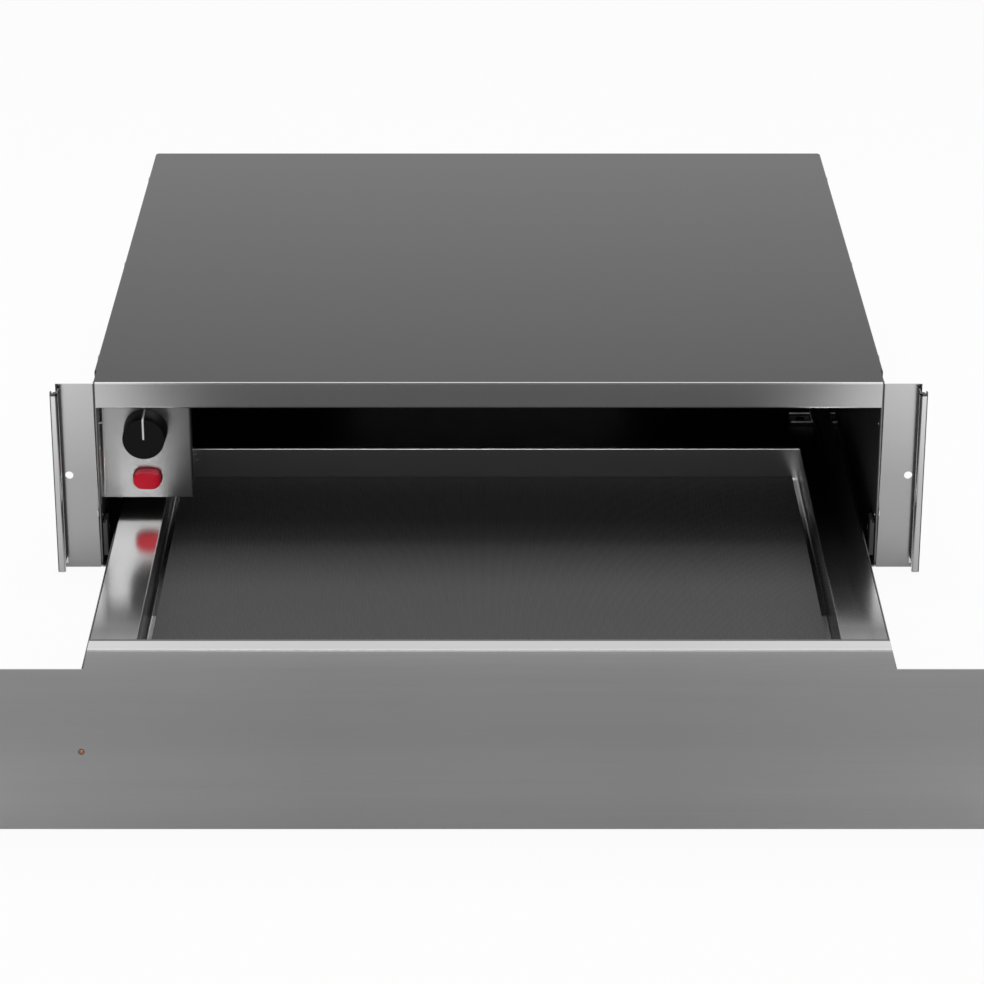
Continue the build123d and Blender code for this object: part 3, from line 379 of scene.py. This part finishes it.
finishes = {
    # Inside the cavity the zinc is coloured dark, with a painted reflection on the side walls.
    "galvanised": zinc("galvanised", inside=CAVITY),
    "galvanised_plain": zinc("galvanised_plain"),
    # The cover's colour grows lighter towards the back: painted light.
    "cover_grey": zinc("cover_grey", tone(74), 0.5, CAVITY, contrast=0.03, fades=[("y", 0, 480, 1.9)]),
    # The bar is coloured lighter towards its ends (painted light), dark on its underside shelf (painted shade)
    # and near white along its top edge (painted highlight).
    "bar_steel": steel("bar_steel", tone(193), 0.25, grain=0.03, smudge=0.03, bump=0.0,
                       fades=[("x", 222, 264, 1.2)], patches=[(BAR_SHELF_SHADE, tone(50)), (BAR_TOP_HIGHLIGHT, tone(245))]),
    # The fascia is coloured darker towards the middle and towards the bottom (painted shade), with a dark line
    # on the bend to its leg (painted shade) and a lighter leg face (painted reflection).
    "fascia_steel": steel("fascia_steel", tone(170), 0.26, grain=0.02, smudge=0.02, bump=0.0,
                          fades=[("x", 250, 205, 0.73), ("z", 62, 47, 0.82)],
                          patches=[(LEG_EDGE_SHADE, tone(80)), (LEG_FACE_REFLECTION, tone(150))]),
    # The flange is coloured lighter towards its top (painted light); the lip's hollow, cap and outer edge carry
    # painted shade, its nose and inner edge painted highlights, and two small painted glints sit on the
    # flange's inner edge and foot.
    "flange_steel": steel("flange_steel", tone(168), 0.19, grain=0.015, smudge=0.03, turn=ALONG_Z, bump=0.003,
                          fades=[("z", 0, 134, 1.3), ("z", 67, 134, 1.28)],
                          patches=[(LIP_HOLLOW_SHADE, tone(36)), (LIP_NOSE_HIGHLIGHT, tone(190)),
                                   (LIP_INSIDE_HIGHLIGHT, tone(250)), (LIP_CAP_SHADE, tone(70)),
                                   (LIP_OUTSIDE_SHADE, tone(34)), (EDGE_GLINT, tone(255)), (FOOT_GLINT, tone(255))]),
    # The tray's back wall is coloured darker; its rim, the margin beside the mat and the line at the rear
    # corner carry painted highlights, and its side walls painted shade.
    "tray_steel": steel("tray_steel", tone(214), 0.26, grain=0.04, smudge=0.02, turn=ALONG_Y, bump=0.003,
                        crossed=TRAY_BACK,
                        patches=[(TRAY_BACK, tone(176)), (TRAY_RIM_HIGHLIGHT, tone(205)), (TRAY_WALLS_SHADE, tone(120)),
                                 (TRAY_MARGIN_HIGHLIGHT, tone(240)), (TRAY_CORNER_HIGHLIGHT, tone(255))]),
    # The panel is coloured lighter towards its ends and towards its foot (painted light), and the top of its
    # return carries a painted highlight.
    "panel_steel": steel("panel_steel", tone(132), 0.36, grain=0.09, bump=0.02,
                         fades=[("x", 100, 290, 1.19), ("z", 62, 0, 1.34)], patches=[(RETURN_TOP_HIGHLIGHT, tone(186))]),
    # The rails are coloured darker towards the front (painted shade), with a painted dark line along the outer
    # lip.
    "rail_steel": steel("rail_steel", tone(252), 0.15, turn=ALONG_Y, bump=0.005, grain=0.03,
                        fades=[("y", -125, -182, 0.3)], patches=[(RAIL_LIP_SHADE, tone(40))]),
    "slide_steel": steel("slide_steel", tone(120), 0.36, turn=ALONG_Y),
    # The strap's rims carry a painted highlight.
    "bracket_steel": steel("bracket_steel", tone(52), 0.5, patches=[(STRAP_RIMS_HIGHLIGHT, tone(255))]),
    "bracket_dark": steel("bracket_dark", tone(40), 0.55),
    "ball_steel": steel("ball_steel", tone(205), 0.12, grain=0.03),
    # Screw ends inside the wall are coloured dark (painted shade), and the strap screws are coloured dark.
    "screw_steel": steel("screw_steel", tone(190), 0.26, grain=0.06,
                         patches=[(SCREW_TIP_SHADE, tone(60)), (STRAP_SCREWS, tone(34))]),
    "brass": steel("brass", tone(205, 170, 95), 0.26),
    "box_dark": moulded("box_dark", tone(40), 0.5),
    # The mat is coloured darker just inside the cavity and lighter again further back: painted shade and light.
    "mat": moulded("mat", tone(84), 0.9, mottle=0.2, grain=2600.0, bump=0.35, wear=0.0,
                   fades=[("y", 0, 45, 0.5), ("y", 50, 115, 2.0)]),
    # The knob is coloured near black with a lighter face: painted shade on its sides.
    "knob_black": moulded("knob_black", tone(6), 0.4, worn=tone(30), mottle=0.1, bump=0.01, wear=0.1,
                          patches=[(KNOB_FACE_LIT, tone(31))], Specular_IOR_Level=0.006),
    "pointer_white": moulded("pointer_white", tone(225), 0.45, wear=0.0),
    # A pink band along the button's top edge is a painted highlight.
    "button_red": moulded("button_red", tone(214, 20, 48), 0.3, worn=tone(225, 90, 98), bump=0.01, wear=0.3,
                          patches=[(BUTTON_TOP_HIGHLIGHT, tone(255, 84, 104))], Specular_IOR_Level=0.16),
    "amber": moulded("amber", tone(150, 82, 26), 0.15, worn=tone(220, 150, 70), bump=0.0, Coat_Weight=0.5),
    "plastic_black": moulded("plastic_black", tone(30), 0.5),
    # The seal materials also stand in for painted shade in the gaps they fill.
    "seal_and_shade_black": moulded("seal_and_shade_black", tone(34), 0.7, wear=0.0),
    "seal_and_shade_grey": moulded("seal_and_shade_grey", tone(84), 0.6, wear=0.0),
    "pad_grey": moulded("pad_grey", tone(72), 0.5),
    "nylon": moulded("nylon", tone(178, 178, 172), 0.45),
    "silicone": moulded("silicone", tone(150, 66, 40), 0.6, grain=900.0, bump=0.3),
    "wool": moulded("wool", tone(205, 196, 168), 0.95, mottle=0.6, grain=600.0, bump=0.8),
}
node_finish = {
    "cabinet_shell": "galvanised", "cabinet_back": "galvanised", "top_cover": "cover_grey",
    "front_top_bar": "bar_steel", "left_side_flange": "flange_steel", "right_side_flange": "flange_steel",
    "control_fascia": "fascia_steel", "control_box": "box_dark", "thermostat_body": "plastic_black",
    "thermostat_nut": "brass", "switch_body": "plastic_black", "knob_spindle": "screw_steel",
    "front_backing": "galvanised_plain", "indicator_holder": "plastic_black", "drawer_tray": "tray_steel",
    "heat_shield": "galvanised_plain", "heater_mat": "silicone", "insulation_pad": "wool",
    "thermal_cutout": "plastic_black", "latch_body": "plastic_black", "latch_plunger": "nylon",
    "latch_striker": "tray_steel", "terminal_cover": "plastic_black", "terminal_block": "nylon",
    "cable_gland": "plastic_black",
}
for side in ("left_", "right_"):
    node_finish.update({side + piece: finish for piece, finish in {
        "rail": "rail_steel", "drawer_side": "slide_steel", "slide_outer": "slide_steel",
        "slide_middle": "slide_steel", "slide_inner": "slide_steel", "outer_ball_cage": "ball_steel",
        "inner_ball_cage": "ball_steel", "slide_front_bracket": "bracket_dark",
        "slide_rear_bracket": "bracket_steel", "guide_pad": "pad_grey"}.items()})
for node, finish in node_finish.items():
    nodes[node].data.materials.clear()
    nodes[node].data.materials.append(finishes[finish])


# ---- detailed pieces ----
def put_piece(name, bm, finish, body, replaced=(), sharp=35.0):
    """Turn a mesh worked in millimetres into a finished piece that rides on its body."""
    bmesh.ops.remove_doubles(bm, verts=bm.verts, dist=1e-4)
    bmesh.ops.recalc_face_normals(bm, faces=bm.faces)
    bmesh.ops.scale(bm, verts=bm.verts, vec=(MM,) * 3)
    mesh = bpy.data.meshes.new(name)
    bm.to_mesh(mesh)
    bm.free()
    mesh.shade_smooth()
    mesh.set_sharp_from_angle(angle=math.radians(sharp))
    mesh.materials.append(finishes[finish])
    piece = bpy.data.objects.new(name, mesh)
    bpy.context.scene.collection.objects.link(piece)
    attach(piece, body)
    if replaced:
        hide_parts(*replaced)


def soften(bm, edges, width, segments=3):
    """Round the edges over a width."""
    bmesh.ops.bevel(bm, geom=edges, offset=width, segments=segments, profile=0.5, affect="EDGES", material=-1,
                    clamp_overlap=True)


def lathe(bm, profile, steps=64):
    """Spin a line of (radius, height) points about Z into a round skin; gives its vertices."""
    line = [bm.verts.new((radius, 0, height)) for radius, height in profile]
    ribs = [bm.edges.new(pair) for pair in zip(line, line[1:])]
    bmesh.ops.spin(bm, geom=line + ribs, cent=(0, 0, 0), axis=(0, 0, 1), dvec=(0, 0, 0), angle=2 * math.pi,
                   steps=steps, use_merge=True)
    bmesh.ops.remove_doubles(bm, verts=bm.verts, dist=1e-4)
    return bm.verts


def stand_along(bm, verts, direction, origin):
    """Turn what was made about Z so that Z points along direction, and move it to origin."""
    turned = Vector(direction).to_track_quat("Z", "Y").to_matrix()
    bmesh.ops.rotate(bm, verts=verts, cent=(0, 0, 0), matrix=turned)
    bmesh.ops.translate(bm, verts=verts, vec=origin)


def arc(centre, radius, start, end, steps):
    """Points of an arc in a lathe's (radius, height) plane; angles in degrees."""
    return [(centre[0] + radius * math.cos(math.radians(start + (end - start) * i / steps)),
             centre[1] + radius * math.sin(math.radians(start + (end - start) * i / steps)))
            for i in range(steps + 1)]


def make_knob():
    """Matt knob with a shallow dish in its face, a soft rim, tapered sides and a hollow skirt."""
    height, rim, hollow = knob_base - knob_front, 0.7, 15.0
    skirt_inner, boss_radius, bore_end = 12.0, 5.0, 2.9
    bm = bmesh.new()
    profile = ([(0, height - 0.15), (boss_radius, height - 0.13), (9.5, height - 0.06), (13.0, height)]
               + arc((knob_face_radius - rim, height - rim), rim, 90, 0, 6)
               + [(knob_foot_radius, 0.8), (knob_foot_radius - 0.3, 0.25), (knob_foot_radius - 0.7, 0),
                  (skirt_inner + 0.2, 0), (skirt_inner, 0.2), (skirt_inner, hollow), (boss_radius, hollow),
                  (boss_radius, bore_end), (0, bore_end)])
    verts = lathe(bm, profile, 96)
    stand_along(bm, verts, (0, -1, 0), (control_x, knob_base, knob_level))
    put_piece("knob_cap", bm, "knob_black", "knob", ["control_knob"])


def make_pointer():
    """White line on the knob that runs from the middle of its face over the rim and back along its side."""
    bm = bmesh.new()
    front, rear, width, depth = knob_front, knob_base - 1.0, 1.2, 0.3
    corners = [(front + 0.05, 0.0), (front + 0.03, 5.0), (front - 0.04, 9.5), (front - 0.1, 13.4),
               (front + 0.12, 14.1), (front + 0.7, knob_face_radius + 0.1), (rear, knob_foot_radius + 0.06)]
    line = [bm.verts.new((control_x - width / 2, y, knob_level + z)) for y, z in corners]
    edges = [bm.edges.new(pair) for pair in zip(line, line[1:])]
    wide = bmesh.ops.extrude_edge_only(bm, edges=edges)["geom"]
    bmesh.ops.translate(bm, verts=[g for g in wide if isinstance(g, bmesh.types.BMVert)], vec=(width, 0, 0))
    bmesh.ops.recalc_face_normals(bm, faces=bm.faces)
    bmesh.ops.solidify(bm, geom=bm.faces[:], thickness=depth)
    put_piece("knob_line", bm, "pointer_white", "knob", ["knob_pointer"], sharp=50)


def make_button():
    """Pillow-faced push button with nearly round ends."""
    wide, tall = button_size
    length = button_rear - button_front
    bm = bmesh.new()
    bmesh.ops.create_cube(bm, size=1.0)
    bmesh.ops.scale(bm, verts=bm.verts, vec=(wide, length, tall))
    bmesh.ops.translate(bm, verts=bm.verts, vec=(control_x, button_front + length / 2, button_level))
    corners = [e for e in bm.edges if abs(e.verts[0].co.y - e.verts[1].co.y) > 1]
    soften(bm, corners, button_corner, 10)
    face = min(bm.faces, key=lambda f: f.calc_center_median().y)
    soften(bm, face.edges[:], 2.0, 5)
    for inset, rise in ((0.8, 0.12), (0.9, 0.06)):
        face = min(bm.faces, key=lambda f: f.calc_center_median().y)
        bmesh.ops.inset_region(bm, faces=[face], thickness=inset)
        bmesh.ops.translate(bm, verts=face.verts, vec=(0, -rise, 0))
    put_piece("button_cap", bm, "button_red", "button", ["power_button"])


def cut_across(bm, geom, place, normal):
    """Cut faces along a plane; gives what they have become."""
    return bmesh.ops.bisect_plane(bm, geom=list(dict.fromkeys(geom)), dist=1e-5, plane_co=place,
                                  plane_no=normal)["geom"]


def grow_faces(bm, faces, vec):
    """Push faces out along a vector, with walls round them."""
    grown = bmesh.ops.extrude_face_region(bm, geom=faces)["geom"]
    bmesh.ops.delete(bm, geom=faces, context="FACES")
    moved = [g for g in grown if isinstance(g, bmesh.types.BMVert)]
    bmesh.ops.translate(bm, verts=moved, vec=vec)
    return moved


def make_panel():
    """Front of the drawer, folded from one sheet: raised middle, ends, foot and the return over the top."""
    bm = bmesh.new()
    outline = [(-panel_edge, panel_foot), (panel_edge, panel_foot), (panel_edge, wing_height),
               (crown_base, wing_height), (crown_top, crown_height), (-crown_top, crown_height),
               (-crown_base, wing_height), (-panel_edge, wing_height)]
    rear = bm.faces.new([bm.verts.new((x, panel_front, z)) for x, z in outline])
    grown = bmesh.ops.extrude_face_region(bm, geom=[rear])["geom"]
    bmesh.ops.translate(bm, verts=[g for g in grown if isinstance(g, bmesh.types.BMVert)],
                        vec=(0, panel_sheet, 0))
    rear = max(bm.faces, key=lambda f: f.calc_center_median().y)
    cut = [rear, *rear.edges, *rear.verts]
    across, up = Vector((1, 0, 0)), Vector((0, 0, 1))
    for normal, level in ((up, crown_height - panel_sheet), (up, panel_foot + panel_sheet),
                          (across, panel_edge - panel_sheet), (across, panel_sheet - panel_edge),
                          (across, foot_fold), (across, -foot_fold)):
        cut = cut_across(bm, cut, normal * level, normal)
    cells = [(f, f.calc_center_median()) for f in cut if isinstance(f, bmesh.types.BMFace)]
    top = [f for f, c in cells if c.z > crown_height - panel_sheet]
    foot = [f for f, c in cells if c.z < panel_foot + panel_sheet and abs(c.x) < foot_fold]
    ends = [f for f, c in cells if abs(c.x) > panel_edge - panel_sheet]
    fold_depth, return_depth = (r - panel_front - panel_sheet for r in (fold_rear, crown_rear))
    grow_faces(bm, top, (0, return_depth, 0))
    grow_faces(bm, foot, (0, fold_depth, 0))
    grow_faces(bm, ends, (0, fold_depth, 0))
    folds = []
    for edge in bm.edges:
        (x0, y0, z0), (x1, y1, z1) = (v.co for v in edge.verts)
        if max(y0, y1) > panel_front + 1e-3:
            continue
        at_end = min(abs(x0), abs(x1)) > panel_edge - 1e-3
        if at_end or min(z0, z1) > crown_height - 1e-3 or max(z0, z1) < panel_foot + 1e-3:
            folds.append(edge)
    soften(bm, folds, 0.95, 4)
    put_piece("front_plate", bm, "panel_steel", "drawer", ["front_panel"], sharp=28)


def add_strip(bm, low, high, edge):
    """Strip between two corners with softened edges."""
    made = bmesh.ops.create_cube(bm, size=1.0)["verts"]
    bmesh.ops.scale(bm, verts=made, vec=[b - a for a, b in zip(low, high)])
    bmesh.ops.translate(bm, verts=made, vec=[(a + b) / 2 for a, b in zip(low, high)])
    if edge:
        soften(bm, list(dict.fromkeys(e for v in made for e in v.link_edges)), edge, 2)


def make_rail_beads():
    """Rolled bead along the inner edge of each rail."""
    for side, sign in (("left", -1), ("right", 1)):
        bm = bmesh.new()
        rear = rail_rear - 0.2
        ends = bmesh.ops.create_cone(bm, cap_ends=True, segments=16, radius1=bead_radius, radius2=bead_radius,
                                     depth=rear - rail_front)["verts"]
        middle = (sign * tray_half, (rear + rail_front) / 2, rail_level - bead_radius + 0.1)
        stand_along(bm, ends, (0, 1, 0), middle)
        put_piece(side + "_rail_bead", bm, "rail_steel", "drawer", sharp=60)


def make_seals():
    """Rubber strips that also stand in for painted shade: a grey one behind the panel's return, where a shadow
    gap shows, and a dark one along the inside of each flange lip, where the lip's inside is shaded.
    """
    bm = bmesh.new()
    top = crown_height - seal_drop
    add_strip(bm, (-crown_top, crown_rear, top - seal_height), (crown_top, crown_rear + seal_depth, top), 0.3)
    put_piece("return_seal_and_shade", bm, "seal_and_shade_grey", "drawer")
    for side, sign in (("left", -1), ("right", 1)):
        bm = bmesh.new()
        left, right = sorted((sign * (lip_inner - buffer_sheet), sign * lip_inner))
        add_strip(bm, (left, flange_front - buffer_depth, buffer_foot), (right, flange_front, lip_top), 0.1)
        put_piece(side + "_lip_buffer_and_shade", bm, "seal_and_shade_black", "cabinet")


def make_indicator():
    """Domed amber lens in a thin dark ring."""
    bm = bmesh.new()
    verts = lathe(bm, [(0, 0.5)] + arc((0, -1.6), 2.1, 78, 42, 4) + [(indicator_radius, -0.25),
                                                                       (indicator_radius, -1.7), (0, -1.7)], 40)
    stand_along(bm, verts, (0, -1, 0), (indicator_x, panel_front, indicator_level))
    put_piece("indicator_dome", bm, "amber", "drawer", ["indicator_lens"])
    bm = bmesh.new()
    ring = arc((indicator_radius + 0.05, 0.0), 0.22, 180, 0, 6)
    verts = lathe(bm, ring + [(indicator_radius + 0.27, -0.4), (indicator_radius - 0.17, -0.4), ring[0]], 40)
    stand_along(bm, verts, (0, -1, 0), (indicator_x, panel_front, indicator_level))
    put_piece("indicator_ring", bm, "plastic_black", "drawer")


def make_mat():
    """Non-slip mat with fine ribs that run from front to back."""
    ribs = int(2 * mat_half / rib_pitch)
    columns = 4 * ribs
    bm = bmesh.new()
    bmesh.ops.create_grid(bm, x_segments=columns, y_segments=1, size=1.0)
    bmesh.ops.scale(bm, verts=bm.verts, vec=(mat_half, (mat_rear - mat_front) / 2, 1.0))
    bmesh.ops.translate(bm, verts=bm.verts, vec=(0, (mat_rear + mat_front) / 2, mat_top - rib_rise))
    column = 2 * mat_half / columns
    crests = [v for v in bm.verts if round((v.co.x + mat_half) / column) % 4 in (1, 2)]
    bmesh.ops.translate(bm, verts=crests, vec=(0, 0, rib_rise))
    sunk = bmesh.ops.extrude_edge_only(bm, edges=[e for e in bm.edges if e.is_boundary])["geom"]
    rim = [g for g in sunk if isinstance(g, bmesh.types.BMVert)]
    bmesh.ops.scale(bm, verts=rim, vec=(1, 1, 0))
    bmesh.ops.translate(bm, verts=rim, vec=(0, 0, mat_floor))
    bmesh.ops.contextual_create(bm, geom=[g for g in sunk if isinstance(g, bmesh.types.BMEdge)])
    put_piece("ribbed_mat", bm, "mat", "drawer", ["non_slip_mat"], sharp=20)


def add_screw(bm, point, direction, reach):
    """Pan-head screw with a cross recess; its head stands out of point against direction."""
    known = set(bm.verts)
    head = arc((0.0, -0.55), 3.55, 40, 18, 4)
    shank, point_length = 1.7, 0.8
    profile = [(1.9, 1.72), *head[1:], (3.5, 0.3), (3.4, 0.0), (shank, 0.0), (shank, point_length - reach),
               (0.0, -reach)]
    lathe(bm, profile, 24)
    hole = [e for e in bm.edges if e.is_boundary and e.verts[0] not in known and e.verts[1] not in known]
    cap = bmesh.ops.contextual_create(bm, geom=hole)["faces"]
    arm, recess_depth, recess_taper = 0.42, 1.1, 0.7
    cut = list(cap) + [e for f in cap for e in f.edges] + [v for f in cap for v in f.verts]
    for normal, side in (((1, 0, 0), arm), ((1, 0, 0), -arm), ((0, 1, 0), arm), ((0, 1, 0), -arm)):
        cut = cut_across(bm, cut, tuple(side * n for n in normal), normal)
    recess = [f for f in cut if isinstance(f, bmesh.types.BMFace)
              and min(abs(f.calc_center_median().x), abs(f.calc_center_median().y)) < arm]
    sunk = bmesh.ops.extrude_face_region(bm, geom=recess)["geom"]
    bmesh.ops.delete(bm, geom=recess, context="FACES")
    low = [g for g in sunk if isinstance(g, bmesh.types.BMVert)]
    bmesh.ops.translate(bm, verts=low, vec=(0, 0, -recess_depth))
    bmesh.ops.scale(bm, verts=low, vec=(recess_taper, recess_taper, 1.0))
    stand_along(bm, [v for v in bm.verts if v not in known], [-d for d in direction], point)


def both_sides(x, y, z, inward=-1):
    """A screw place on each side, with the way that the screws point."""
    return [((sign * x, y, z), (sign * inward, 0, 0)) for sign in (-1, 1)]


def make_screws():
    """Screws of the cover, the back, the flanges and the slide brackets."""
    groups = {
        "cover_screws": (4.0, [s for y in cover_screw_ys
                               for s in both_sides(cover_screw_x, y, cover_screw_z)]),
        "back_screws": (4.0, [s for z in back_screw_zs
                              for s in both_sides(back_screw_x, back_screw_y, z)]),
        "flange_screws": (3.0, [s for z in flange_screw_zs
                                for s in both_sides(flange_screw_x, flange_screw_y, z)]),
        "bracket_screws": (2.0, both_sides(*wall_screw_place, inward=1)
                           + [((sign * x, strap_screw_y, strap_screw_z), (0, 0, -1))
                              for x in strap_screw_xs for sign in (-1, 1)]),
    }
    for node, (reach, places) in groups.items():
        bm = bmesh.new()
        for point, direction in places:
            add_screw(bm, point, direction, reach)
        put_piece("cross_" + node, bm, "screw_steel", "cabinet", [node])


make_knob()
make_pointer()
make_button()
make_panel()
make_indicator()
make_mat()
make_rail_beads()
make_seals()
make_screws()


# ---- floor, light and camera ----
floor_half, floor_gap = 8.0, 0.0003
floor_seen, floor_in_gloss, world_fill = 0.94, 0.35, 0.35


def make_floor():
    """Plain white floor that keeps the object's soft shadow and shows as white in metal."""
    bm = bmesh.new()
    bmesh.ops.create_grid(bm, x_segments=1, y_segments=1, size=floor_half)
    mesh = bpy.data.meshes.new("floor")
    bm.to_mesh(mesh)
    bm.free()
    floor = bpy.data.objects.new("floor", mesh)
    bpy.context.scene.collection.objects.link(floor)
    floor.location.z = -floor_gap
    material, tree, shader, _, _ = start_material("floor_white")
    shader.inputs["Base Color"].default_value = tone(244)
    shader.inputs["Roughness"].default_value = 1.0
    shader.inputs["Specular IOR Level"].default_value = 0.0
    glow = add_node(tree, "ShaderNodeEmission", {"Color": (1, 1, 1, 1), "Strength": 1.0})
    seen = add_node(tree, "ShaderNodeLightPath")
    share = arithmetic(tree, "ADD", arithmetic(tree, "MULTIPLY", seen.outputs["Is Camera Ray"], floor_seen),
                       arithmetic(tree, "MULTIPLY", seen.outputs["Is Glossy Ray"], floor_in_gloss))
    both = add_node(tree, "ShaderNodeMixShader", {0: share, 1: shader.outputs[0], 2: glow.outputs[0]})
    tree.links.new(both.outputs[0], tree.nodes["Material Output"].inputs["Surface"])
    mesh.materials.append(material)


def make_world():
    """Even white studio light, white where the camera or a gloss surface sees it."""
    world = bpy.data.worlds.new("studio")
    bpy.context.scene.world = world
    world.use_nodes = True
    tree = world.node_tree
    seen = add_node(tree, "ShaderNodeLightPath")
    direct = arithmetic(tree, "MAXIMUM", seen.outputs["Is Camera Ray"],
                        arithmetic(tree, "MAXIMUM", seen.outputs["Is Glossy Ray"],
                                   seen.outputs["Is Transmission Ray"]))
    background = tree.nodes["Background"]
    background.inputs["Color"].default_value = (1, 1, 1, 1)
    tree.links.new(spread(tree, direct, world_fill, 1.0), background.inputs["Strength"])


def make_lamp(name, place, target, size, energy):
    """Square soft lamp aimed at a point."""
    lamp = bpy.data.lights.new(name, "AREA")
    lamp.size, lamp.energy = size, energy
    made = bpy.data.objects.new(name, lamp)
    made.location = place
    made.rotation_euler = (Vector(target) - Vector(place)).to_track_quat("-Z", "Y").to_euler()
    bpy.context.scene.collection.objects.link(made)


def make_camera():
    """Camera at the photograph's viewing angle."""
    camera = bpy.data.cameras.new("camera")
    camera.lens, camera.sensor_width, camera.shift_x = CAMERA_LENS, CAMERA_FILM, CAMERA_SHIFT
    made = bpy.data.objects.new("camera", camera)
    made.location = CAMERA_PLACE
    made.rotation_euler = (math.radians(CAMERA_TILT), 0, 0)
    bpy.context.scene.collection.objects.link(made)
    bpy.context.scene.camera = made


make_floor()
make_world()
make_lamp("overhead_softbox", place=(0, 0.3, 1.9), target=(0, 0.1, 0.0), size=1.2, energy=19.0)
make_lamp("front_softbox", place=(0, -2.5, 0.55), target=(0, 0, 0.08), size=0.6, energy=17.0)
make_camera()
bpy.context.scene.view_settings.view_transform = "Standard"
